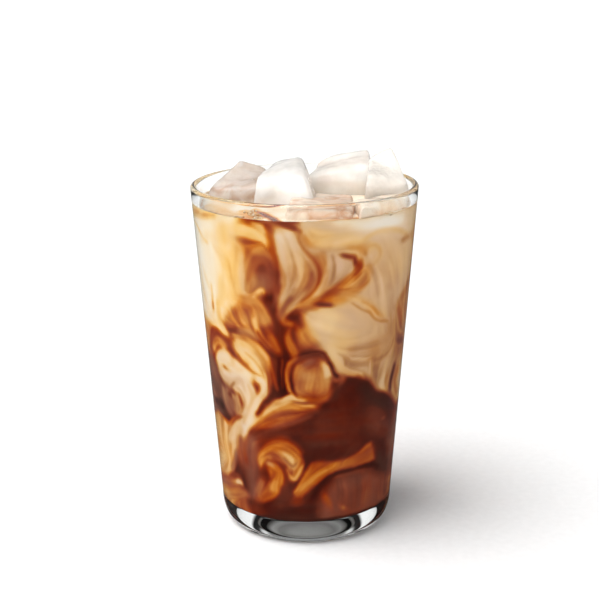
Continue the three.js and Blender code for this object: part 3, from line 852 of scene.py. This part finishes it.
def painted_sheet():
    s_line = (np.arange(COLUMNS) + 0.5) / COLUMNS * AROUND - AROUND / 2
    z_line = SHEET_LOW + (np.arange(ROWS) + 0.5) * STEP
    s, z = np.meshgrid(s_line, z_line)
    lean = math.pi / 2 + 0.5 * noise(s, z, 30, 77)
    field = {"milk": np.full(s.shape, BASE_MILK), "haze": np.full(s.shape, BASE_HAZE)}
    field["turn"] = [np.cos(2 * lean), np.sin(2 * lean)]
    field["s"], field["z"] = s, z
    for cell, reach, seed in STIRS:
        field["s"], field["z"] = stirred(field["s"], field["z"], cell, reach, seed)
    paint_back(field)
    for k, (kind, milk, haze, soft, cover, streak, points) in enumerate(FRONT):
        STROKE[kind](field, points, milk, haze, soft, cover, streak, k)
    paint_seams(field)
    for middle_s, middle_z, half_s, half_z, change in SHADES:
        field["milk"] += change * np.exp(-((s - middle_s) / half_s) ** 2 - ((z - middle_z) / half_z) ** 2)
    folded = stirred(*stirred(s, z, 22, 0.55, 41), 9, 0.45, 42)
    wisp, tint = noise(*folded, 9, 43), noise(*folded, 13, 47)
    grain = [noise(s, z, 3.2, 45), noise(s, z, 1.3, 46)]
    ribbon, thread = drawn_out(grain, field["turn"], RIBBON_LENGTH)
    ribbon, thread = ribbon / ribbon.std(), thread / thread.std()
    milk = field["milk"]
    lively = 0.35 + 0.9 * smooth(0.5 + 0.9 * noise(s, z, 17, 48))
    middle = np.clip(4 * milk * (1 - milk), 0, 1) ** 1.5 + 0.12
    share = middle * smooth(milk * 4 - 0.55) * (1 - 0.6 * smooth((milk - 0.5) * 4)) * lively
    milk = milk + share * (RIBBON * ribbon + THREAD * thread + WISP * wisp)
    haze = field["haze"] + TINT * tint - 0.05 * ribbon
    long_milk, long_haze = drawn_out([milk, haze], field["turn"], SMEAR_LENGTH)
    return np.clip(0.5 * milk + 0.5 * long_milk, 0, 1), np.clip(long_haze, 0, 1)


sheet_milk, sheet_haze = painted_sheet()
print("mean milk", round(float(sheet_milk.mean()), 3), "mean haze", round(float(sheet_haze.mean()), 3))

# %% [markdown]
# ## Ice
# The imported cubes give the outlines. Each copy is remeshed into even small quads, smoothed as melting
# smooths it, and given shallow dimples, because melting ice is never flat.

# %% Melted cubes
ICE = sorted(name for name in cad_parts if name.startswith("ice_"))
ICE_VOXEL = 0.6
DIMPLE_DEPTH = 0.16
DIMPLE_SIZES = (7.0, 2.8)


def plain_copy(source, name, modifiers=()):
    """The source's mesh in place, with modifiers applied, as a plain mesh object."""
    copy = bpy.data.objects.new(name, source.data.copy())
    copy.data.transform(source.matrix_world)
    bpy.context.collection.objects.link(copy)
    for kind, settings in modifiers:
        modifier = copy.modifiers.new(kind.lower(), kind)
        for key, value in settings.items():
            setattr(modifier, key, value)
    settle(copy)
    copy.data.name = name
    return copy


def dimpled(mesh, seed):
    """Moves each point along its normal by noise of two sizes."""
    points, normals = mesh_arrays(mesh)
    mm = points / MM
    depth = np.zeros(len(mm))
    for k, cell in enumerate(DIMPLE_SIZES):
        for axis in range(3):
            u, v = mm[:, axis], mm[:, (axis + 1) % 3]
            depth += noise(u + 0.4 * v + 90 * axis, v + 40, cell, seed + 10 * k + axis) * (0.5 ** k)
    moved = points + normals * (depth * DIMPLE_DEPTH * MM)[:, None]
    mesh.vertices.foreach_set("co", moved.ravel())
    mesh.update()


melted = {}
for k, name in enumerate(ICE):
    steps = [
        ("REMESH", {"mode": "VOXEL", "voxel_size": ICE_VOXEL * MM, "use_smooth_shade": True}),
        ("SMOOTH", {"factor": 0.5, "iterations": 6}),
    ]
    cube = plain_copy(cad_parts[name], name + "_melted", steps)
    dimpled(cube.data, 900 + 31 * k)
    cube.data.shade_smooth()
    cube.data.materials.clear()
    melted[name] = cube
print("ice:", {name: len(cube.data.polygons) for name, cube in melted.items()})

# %% [markdown]
# ## The drink
# The drink fills the glass and reaches a little way into its wall, so that no air shows between them. It
# is turned from its own profile with a fine grid, because the painting is stored on its vertices, and then
# the cubes are cut out of it.


# %% Drink mesh
DRINK_COLUMNS = 432
WALL_ROWS = 186
SURFACE_RINGS = 25
SURFACE_MIDDLE = 1.5  # radius of the last ring
SOCKET_GAP = 0.15  # between the drink and its ice


def drink_profile():
    corner_z = FLOOR_HEIGHT + FLOOR_CORNER
    corner_r = inner_radius(corner_z) - FLOOR_CORNER
    radius = FLOOR_CORNER + OVERLAP
    bottom = [(corner_r * t, FLOOR_HEIGHT - OVERLAP) for t in (0.05, 0.35, 0.65, 0.88)]
    corner = arc(corner_r, corner_z, radius, radius, -90, 0, steps=8)
    top_z = LEVEL + CREEP
    wall = [(inner_radius(z) + OVERLAP, z) for z in np.linspace(corner_z, top_z, WALL_ROWS)[1:]]
    edge_r = inner_radius(top_z)
    inward = (0.1, 0.25, 0.45, 0.7, 1)
    creep = [(edge_r - CREEP_REACH * t, top_z - CREEP * (1 - (1 - t) ** 2)) for t in inward]
    inward = np.linspace(0, 1, SURFACE_RINGS)[1:] ** 1.4
    surface_r = (edge_r - CREEP_REACH) * (1 - inward) + SURFACE_MIDDLE * inward
    return bottom + corner + wall + creep + [(r, LEVEL) for r in surface_r]


drink = turned("drink_body", drink_profile(), DRINK_COLUMNS)
for name in ICE:
    socket = plain_copy(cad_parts[name], "socket")
    points, normals = mesh_arrays(socket.data)
    socket.data.vertices.foreach_set("co", (points + normals * SOCKET_GAP * MM).ravel())
    cut = drink.modifiers.new("cut", "BOOLEAN")
    cut.operation = "DIFFERENCE"
    cut.solver = "MANIFOLD"
    cut.object = socket
    settle(drink)
    bpy.data.objects.remove(socket)
triangles = sum(len(p.vertices) - 2 for p in drink.data.polygons)
print("drink:", triangles, "triangles")

# %% [markdown]
# ## From the sheet to the drink
# Every vertex on the wall reads the sheet at its own place. The level top has its own softer marbling of
# froth and cream, and both meet in the small rise at the glass.

# %% Marbling on the vertices
points, _ = mesh_arrays(drink.data)
x, y, z = (points / MM).T
s = np.arctan2(x, -y) * AROUND / (2 * math.pi)
radius = np.hypot(x, y)
sheet_x = (s + AROUND / 2) / AROUND * COLUMNS - 0.5
sheet_y = (z - SHEET_LOW) / STEP - 0.5
wall_milk = sample(sheet_milk, sheet_x, sheet_y)
wall_haze = sample(sheet_haze, sheet_x, sheet_y)

EDGE_BLEND = 0.6  # mm from the glass in which the wall's marbling gives way to the top's
TOP_SHIFT = 60  # added to y, so that every height is above 0, as on the wall
TOP_STROKES = [
    ("plume", 0.74, 0.45, 4, 0.9, 0.06, [(-38, -8, 5), (-31, -20, 7), (-24, -28, 6)]),
    ("plume", 0.60, 0.15, 3, 0.9, 0.04, [(-24, -18, 3), (-20, -27, 6), (-17, -35, 6)]),
    ("plume", 0.26, 0.15, 2.2, 1, 0.03, [
        (-20, -18, 1.2), (-15.5, -25, 3), (-11.5, -33, 3.6), (-9, -40, 2.6),
    ]),
    ("plume", 0.55, 0.70, 4, 0.9, 0.05, [(4, -39, 5), (16, -36, 7), (28, -28, 6)]),
    ("plume", 0.48, 0.50, 3, 0.8, 0.05, [(34, 16, 3), (24, 30, 5), (4, 38, 4), (-18, 34, 3)]),
]
top = {"milk": np.full(x.shape, 0.96), "haze": np.full(x.shape, 0.5)}
top["turn"] = [np.zeros_like(x), np.zeros_like(x)]
top["s"], top["z"] = stirred(*stirred(x, y + TOP_SHIFT, 18, 0.35, 61), 7, 0.3, 62)
top["milk"] += 0.20 * noise(top["s"], top["z"], 9, 63)
for k, (kind, milk, haze, soft, cover, streak, places) in enumerate(TOP_STROKES):
    moved = [(a, b + TOP_SHIFT, width) for a, b, width in places]
    STROKE[kind](top, moved, milk, haze, soft, cover, streak, 700 + k)
on_wall = smooth((radius - inner_radius(z) + EDGE_BLEND) / EDGE_BLEND)
on_wall = np.where(z < LEVEL - 1, 1.0, on_wall)
milk = top["milk"] + (wall_milk - top["milk"]) * on_wall
haze = top["haze"] + (wall_haze - top["haze"]) * on_wall


def store(mesh, name, values):
    attribute = mesh.attributes.get(name) or mesh.attributes.new(name, "FLOAT", "POINT")
    attribute.data.foreach_set("value", np.clip(values, 0, 1).astype(np.float32))


store(drink.data, "milk", milk)
store(drink.data, "haze", haze)
print("wall vertices:", int((on_wall > 0.5).sum()), "top vertices:", int((on_wall <= 0.5).sum()))

# %% [markdown]
# ## Drink material
# Coffee with milk is opaque, and the glass touches it, so no air lies between them and the wall has no
# shine of its own: the glass gives the shine. Light that turns back inside the glass passes the drink
# again and again, and so a colour seen through glass looks deeper than the same colour bare. The colours
# below are those seen, so `bare` takes that away again.


# %% Milk coffee
WARM = [
    (0.00, "#160502"), (0.15, "#420F04"), (0.30, "#822604"), (0.40, "#A2400D"), (0.50, "#C46218"),
    (0.60, "#E28C34"), (0.70, "#F8BC68"), (0.80, "#FCCF8B"), (0.90, "#FDE2B8"), (1.00, "#FFF4E2"),
]
HAZY = [
    (0.00, "#241510"), (0.15, "#4A2A20"), (0.30, "#754636"), (0.40, "#84543E"), (0.50, "#986644"),
    (0.60, "#B07C50"), (0.70, "#CDA077"), (0.80, "#DAB28C"), (0.90, "#E6C8A8"), (1.00, "#F2E0CA"),
]
LET_THROUGH = 0.66  # share of the light that comes out through the glass
TURNED_BACK = 0.43  # share that the glass turns back to the drink


def bare(hex_text):
    """The colour of the bare drink that looks like hex_text behind glass."""
    seen = linear(hex_text)[:3]
    return [min(c / (LET_THROUGH + TURNED_BACK * c), 0.97) for c in seen] + [1.0]


def milk_coffee_material(name, specular, roughness, colour):
    """Opaque milk coffee. Its two painted numbers give the colour, and fine clouds keep it alive."""
    material, tree, place = new_material(name)
    milk = add(tree, "ShaderNodeAttribute", attribute_name="milk").outputs["Fac"]
    haze = add(tree, "ShaderNodeAttribute", attribute_name="haze").outputs["Fac"]
    clouds = math_node(tree, "MULTIPLY_ADD", noise_texture(tree, place, 4, 4.0), 0.05, -0.025)
    fine = math_node(tree, "MULTIPLY_ADD", noise_texture(tree, place, 0.9, 2.0), 0.02, -0.01)
    total = math_node(tree, "ADD", math_node(tree, "ADD", milk, clouds), fine, clamp=True)
    warm, hazy = ramp(tree, total, WARM, colour), ramp(tree, total, HAZY, colour)
    finish_material(tree, {
        "Base Color": mix_colours(tree, haze, warm, hazy),
        "Roughness": roughness,
        "Specular IOR Level": specular,
    })
    return material


behind_glass = milk_coffee_material("milk coffee against the glass", 0.0, 0.6, bare)
open_top = milk_coffee_material("milk coffee, open surface", 0.3, 0.2, linear)


# The rings on the drink's underside are painted reflection and painted shade of the thick base
SWAY = 6  # mm, size and depth of the waves in the rings of the underside
UNDERSIDE_RADIUS = 34  # mm


def painted_base_reflection_material():
    """The drink's underside, painted with what the thick base shows: pale greys of painted reflection,
    and outside a broken dark ring of painted shade, then coffee brown at the edge.
    """
    material, tree, place = new_material("drink seen through the thick base")
    axes = add(tree, "ShaderNodeSeparateXYZ", {"Vector": place}).outputs
    flat = add(tree, "ShaderNodeCombineXYZ", {"X": axes["X"], "Y": axes["Y"]}).outputs["Vector"]
    away = add(tree, "ShaderNodeVectorMath", {0: flat}, operation="LENGTH").outputs["Value"]
    bent = math_node(tree, "MULTIPLY_ADD", noise_texture(tree, place, SWAY, 3.0), SWAY * MM, away)
    share = math_node(tree, "DIVIDE", bent, UNDERSIDE_RADIUS * MM, clamp=True)
    # Pale rings of painted reflection, then a broken dark ring of painted shade, and the coffee's brown at
    # the edge
    colour = ramp(tree, share, [
        (0.00, "#F2F1F0"), (0.22, "#BDBBB9"), (0.30, "#F8F7F6"), (0.42, "#A3A19F"), (0.50, "#F4F3F2"),
        (0.62, "#C8C6C4"), (0.70, "#F4F3F2"), (0.77, "#B4B2B0"), (0.80, "#191513"),
        (0.87, "#0B0807"), (0.90, "#C8C4C0"), (0.95, "#2A1710"), (1.00, "#2A1710"),
    ])
    finish_material(tree, {"Base Color": colour, "Roughness": 0.5, "Specular IOR Level": 0.0})
    return material


drink.data.materials.clear()
for material in (behind_glass, open_top, painted_base_reflection_material()):
    drink.data.materials.append(material)
faces = drink.data.polygons
centres = np.empty(len(faces) * 3)
faces.foreach_get("center", centres)
cx, cy, cz = (centres.reshape(-1, 3) / MM).T
OFF_WALL, SOCKET_DEPTH, ABOVE_FLOOR = 0.3, 25, 0.4  # mm
free = (np.hypot(cx, cy) < inner_radius(cz) - OFF_WALL) & (cz > LEVEL - SOCKET_DEPTH)
below = cz < FLOOR_HEIGHT + ABOVE_FLOOR
faces.foreach_set("material_index", np.where(below, 2, free).astype(np.int32))
faces.foreach_set("use_smooth", np.ones(len(faces), bool))
drink.data.update()
print("open faces:", int(free.sum()))

# %% [markdown]
# ## Glass and ice materials
# Both are clear, so they show what is round them. Glass bends light more than ice does. Ice also holds
# cloudy parts, where air froze in, and a tan tint where coffee has run over it.


# %% Glass
GLASS_IOR, ICE_IOR, FILM_IOR = 1.5, 1.31, 1.33


def glass_material():
    """Pressed soda-lime glass: clear, with the faint waves of a mould in its skin, and soft smears."""
    material, tree, place = new_material("pressed soda-lime glass")
    finish_material(tree, {
        "Base Color": linear("#FBFDFC"),
        "Roughness": spread(tree, noise_texture(tree, place, 30, 3.0), to_high=0.03),
        "Normal": bumps(tree, noise_texture(tree, place, 14, 1.0), 0.08, 0.5),
        "IOR": GLASS_IOR,
        "Transmission Weight": 1.0,
    })
    return material


tumbler.data.materials.append(glass_material())
print("glass ready")


# %% Ice
STAIN_HEIGHT = 9  # mm above the level that coffee has climbed
CLOUD_SWING = 0.10


def ice_material(name, cloudy, cloud_share, tint, tint_share, wrinkle):
    """Melting ice: wet and clear at the skin, white where air froze in, stained where coffee ran."""
    material, tree, place = new_material(name)
    clouds = noise_texture(tree, place, 13, 4.0)
    cloud = spread(tree, clouds, 0.35, 0.65, cloud_share - CLOUD_SWING, cloud_share + CLOUD_SWING)
    height = add(tree, "ShaderNodeSeparateXYZ", {"Vector": place}).outputs["Z"]
    low = spread(tree, height, LEVEL * MM, (LEVEL + STAIN_HEIGHT) * MM, 1.0, 0.15)
    stain = noise_texture(tree, place, 8, 3.0, distortion=1.2)
    stained = math_node(tree, "MULTIPLY", spread(tree, stain, 0.40, 0.75), low)
    tinted = math_node(tree, "MULTIPLY_ADD", stained, tint_share, tint_share * 0.12, clamp=True)
    finish_material(tree, {
        "Base Color": mix_colours(tree, tinted, linear(cloudy), linear(tint)),
        "Transmission Weight": math_node(tree, "SUBTRACT", 1.0, cloud, clamp=True),
        "Roughness": 0.10,
        "Normal": bumps(tree, noise_texture(tree, place, 3.5, 2.0), 1.0, wrinkle * 0.3),
        "IOR": ICE_IOR,
    })
    return material


# Colour and share of the cloudy parts, colour and share of the stain, and how wrinkled the skin is
ICE_LOOK = {
    "ice_left": ice_material("ice stained by coffee", "#ECEAE7", 0.44, "#B88050", 1.0, 0.8),
    "ice_centre": ice_material("ice white with trapped air", "#F2F1EF", 0.60, "#DDBB9B", 0.4, 0.5),
    "ice_back_right": ice_material("ice grey and cloudy", "#F5F4F1", 0.58, "#EAD3BC", 0.35, 0.4),
    "ice_right": ice_material("ice with a wrinkled skin", "#E8E4DE", 0.60, "#E8D0B8", 0.3, 3.0),
    "ice_front": ice_material("thin ice over coffee", "#FFF0DC", 0.78, "#CC8240", 1.1, 0.4),
    "ice_front_right": ice_material("thin ice over cream", "#FFF2E2", 0.85, "#EAC498", 0.7, 0.15),
}
for name, cube in melted.items():
    cube.data.materials.append(ICE_LOOK[name])
print("ice looks:", sorted({cube.data.materials[0].name for cube in melted.values()}))

# %% [markdown]
# ## Froth
# Pouring leaves small bubbles where the surface meets the glass. A node tree scatters them, because they
# repeat by the hundred: points on a thin guide, a small ball on each, sizes drawn at random.

# %% Guide for the froth
FROTH_PATCHES = [
    (-20, -23, 2.6), (-18.5, -27, 2.6), (-17, -31, 2.6), (-24, -30, 2), (30, -26, 2.4), (-37, 5, 2),
]
RING_STEPS = 180
PATCH_CORNERS = 10
guide_z = LEVEL + 0.1
ring_r = inner_radius(LEVEL) - 1.0  # the ring of froth is 1 mm wide and ends 0.5 mm from the glass
guide_points, guide_faces = [], []
for k in range(RING_STEPS):
    a = 2 * math.pi * k / RING_STEPS
    for r in (ring_r - 0.5, ring_r + 0.5):
        guide_points.append((r * math.cos(a), r * math.sin(a), guide_z))
for k in range(RING_STEPS):
    a, b = 2 * k, 2 * ((k + 1) % RING_STEPS)
    if noise(np.array(k * 1.3), np.array(5.0), 9, 71) > -0.1:
        guide_faces.append((a, a + 1, b + 1, b))
for px, py, reach in FROTH_PATCHES:
    first = len(guide_points)
    for k in range(PATCH_CORNERS):
        a = 2 * math.pi * k / PATCH_CORNERS
        r = reach * (0.8 + 0.3 * math.sin(3 * a + px))
        guide_points.append((px + r * math.cos(a), py + r * math.sin(a), guide_z))
    guide_faces.append(tuple(range(first, first + PATCH_CORNERS)))
froth = new_piece("froth", guide_points, guide_faces, smooth=False)
print("froth guide faces:", len(guide_faces))


# %% Froth by geometry nodes
FROTH_INPUTS = {
    "Geometry": "Geometry",
    "Per square metre": "Float",
    "Smallest": "Float",
    "Largest": "Float",
    "Seed": "Int",
}


def froth_tree(material):
    tree = bpy.data.node_groups.new("froth bubbles", "GeometryNodeTree")
    for name, kind in FROTH_INPUTS.items():
        tree.interface.new_socket(name, in_out="INPUT", socket_type="NodeSocket" + kind)
    tree.interface.new_socket("Geometry", in_out="OUTPUT", socket_type="NodeSocketGeometry")
    given = add(tree, "NodeGroupInput").outputs
    points = add(tree, "GeometryNodeDistributePointsOnFaces", {
        "Mesh": given["Geometry"],
        "Density": given["Per square metre"],
        "Seed": given["Seed"],
    })
    ball = add(tree, "GeometryNodeMeshIcoSphere", {"Radius": 1.0, "Subdivisions": 2})
    size = add(tree, "FunctionNodeRandomValue", data_type="FLOAT")
    low, high = [i for i in size.inputs if i.name in ("Min", "Max") and i.type == "VALUE"][:2]
    tree.links.new(given["Smallest"], low)
    tree.links.new(given["Largest"], high)
    tree.links.new(given["Seed"], size.inputs["Seed"])
    picked = next(o for o in size.outputs if o.type == "VALUE")
    bubbles = add(tree, "GeometryNodeInstanceOnPoints", {
        "Points": points.outputs["Points"],
        "Instance": ball.outputs["Mesh"],
        "Scale": picked,
    })
    real = add(tree, "GeometryNodeRealizeInstances", {"Geometry": bubbles.outputs["Instances"]})
    whole = {"Geometry": real.outputs["Geometry"], "Material": material}
    coated = add(tree, "GeometryNodeSetMaterial", whole)
    add(tree, "NodeGroupOutput", {"Geometry": coated.outputs["Geometry"]})
    return tree


def froth_material():
    """Bubble film over milk coffee: golden cream to pale cream at random, with a wet shine."""
    material, tree, place = new_material("milk coffee froth")
    grain = noise_texture(tree, place, 1.5, 2.0)
    finish_material(tree, {
        "Base Color": ramp(tree, grain, [(0.35, "#C98B4E"), (0.5, "#E6C08A"), (0.65, "#FBEBD0")]),
        "Roughness": 0.15,
        "Transmission Weight": 0.3,
        "IOR": FILM_IOR,
    })
    return material


tree = froth_tree(froth_material())
modifier = froth.modifiers.new("froth", "NODES")
modifier.node_group = tree
values = {"Per square metre": 2.2e6, "Smallest": 0.16 * MM, "Largest": 0.5 * MM, "Seed": 7}
for item in tree.interface.items_tree:
    if item.in_out == "INPUT" and item.name in values:
        modifier[item.identifier] = values[item.name]
settle(froth)
froth.data.shade_smooth()
print("froth faces:", len(froth.data.polygons))

# %% [markdown]
# ## Light
# A soft lamp stands high at the front left and throws the shadow to the right. A bright ring of light
# lies round the horizon and fades upwards, so that the drink and the floor are lit from all sides. What
# shines or is clear shows cards in its place: dark in front and at the far sides, grey overhead, and
# striped low at the back. They draw the edges of the glass.

# %% Floor
FLOOR_REACH = 9.0  # metres
corners = [(-1, -1), (1, -1), (1, 1), (-1, 1)]
floor_mesh = bpy.data.meshes.new("floor")
floor_points = [(px * FLOOR_REACH, py * FLOOR_REACH, 0) for px, py in corners]
floor_mesh.from_pydata(floor_points, [], [(0, 1, 2, 3)])
floor = bpy.data.objects.new("floor", floor_mesh)
bpy.context.collection.objects.link(floor)
paper, tree, place = new_material("white paper")
white = ramp(tree, noise_texture(tree, place, 3, 2.0), [(0.3, "#F2F2F2"), (0.7, "#F6F6F6")])
# The skin of the glass mirrors a darker floor, or its lower wall would be veiled in white
path = add(tree, "ShaderNodeLightPath").outputs
outside = math_node(tree, "LESS_THAN", path["Transmission Depth"], 0.5)
mirrored = math_node(tree, "MULTIPLY", path["Is Glossy Ray"], outside)
finish_material(tree, {
    "Base Color": mix_colours(tree, mirrored, white, linear("#464646")),
    "Roughness": 0.9,
    "Specular IOR Level": 0.1,
})
floor.data.materials.append(paper)
print("floor:", 2 * FLOOR_REACH, "m wide")

# %% Lamp
LAMP_POWER = 3.2
LAMP_ANGLE = math.radians(50)
LAMP_PLACE = (-0.40, -0.16, 0.90)
lamp_data = bpy.data.lights.new("soft lamp", "SUN")
lamp_data.angle = LAMP_ANGLE
lamp_data.energy = LAMP_POWER
lamp = bpy.data.objects.new("soft lamp", lamp_data)
lamp.location = LAMP_PLACE
lamp.rotation_euler = (-lamp.location).to_track_quat("-Z", "Y").to_euler()
bpy.context.collection.objects.link(lamp)
print("lamp of", LAMP_POWER, "W a square metre")

# %% Ring of light and cards
RING_STRENGTH, OVERHEAD_STRENGTH, RING_HEIGHT = 10.7, 0.1, 0.3
CARD_STRENGTH = 1.05
world = bpy.data.worlds.new("studio")
bpy.context.scene.world = world
world.use_nodes = True
tree = world.node_tree
tree.nodes.clear()
way = add(tree, "ShaderNodeTexCoord").outputs["Generated"]
axes = add(tree, "ShaderNodeSeparateXYZ", {"Vector": way}).outputs
along_x, along_y = spread(tree, axes["X"], -1.0, 1.0), spread(tree, axes["Y"], -1.0, 1.0)
across = ramp(tree, along_x, [(0.0, "#FFFFFF"), (0.5, "#FAFAFA"), (1.0, "#EEEEEE")])
upward = spread(tree, axes["Z"], 0.0, RING_HEIGHT, RING_STRENGTH, OVERHEAD_STRENGTH)
lit = add(tree, "ShaderNodeBackground", {"Color": across, "Strength": upward})
# Cards from front to back, from left to right, and upwards
back = ramp(tree, along_y, [
    (0.0, "#5C5C5C"), (0.38, "#505050"), (0.5, "#FFFFFF"), (0.895, "#FFFFFF"), (0.905, "#141414"),
    (0.925, "#2A2A2A"), (0.935, "#E0E0E0"), (0.942, "#E0E0E0"), (0.95, "#808080"), (1.0, "#9A9A9A"),
])
sides = ramp(tree, along_x, [
    (0.0, "#5C5C5C"), (0.08, "#747474"), (0.14, "#FFFFFF"), (0.9, "#FFFFFF"), (0.95, "#747474"),
    (1.0, "#5C5C5C"),
])
over = ramp(tree, axes["Z"], [(0.0, "#FFFFFF"), (0.55, "#FFFFFF"), (0.75, "#8C8C8C"), (1.0, "#8C8C8C")])
cards = mix_colours(tree, 1.0, back, sides, "MULTIPLY")
cards = mix_colours(tree, 1.0, cards, over, "MULTIPLY")
shown = add(tree, "ShaderNodeBackground", {"Color": cards, "Strength": CARD_STRENGTH})
# Light that has met something dull comes from the ring, and any other sees the cards
bounces = add(tree, "ShaderNodeLightPath").outputs["Diffuse Depth"]
is_lighting = math_node(tree, "GREATER_THAN", bounces, 0.5)
shaders = {"Fac": is_lighting, 1: shown.outputs[0], 2: lit.outputs[0]}
both = add(tree, "ShaderNodeMixShader", shaders)
add(tree, "ShaderNodeOutputWorld", {"Surface": both.outputs[0]})
bpy.context.scene.view_settings.view_transform = "Standard"
print("world nodes:", len(tree.nodes))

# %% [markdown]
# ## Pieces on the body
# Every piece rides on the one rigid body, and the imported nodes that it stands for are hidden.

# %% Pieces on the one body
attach(tumbler, "root")
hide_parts("glass")
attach(drink, "root")
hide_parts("drink")
for name, cube in melted.items():
    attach(cube, "root")
    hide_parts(name)
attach(froth, "root")
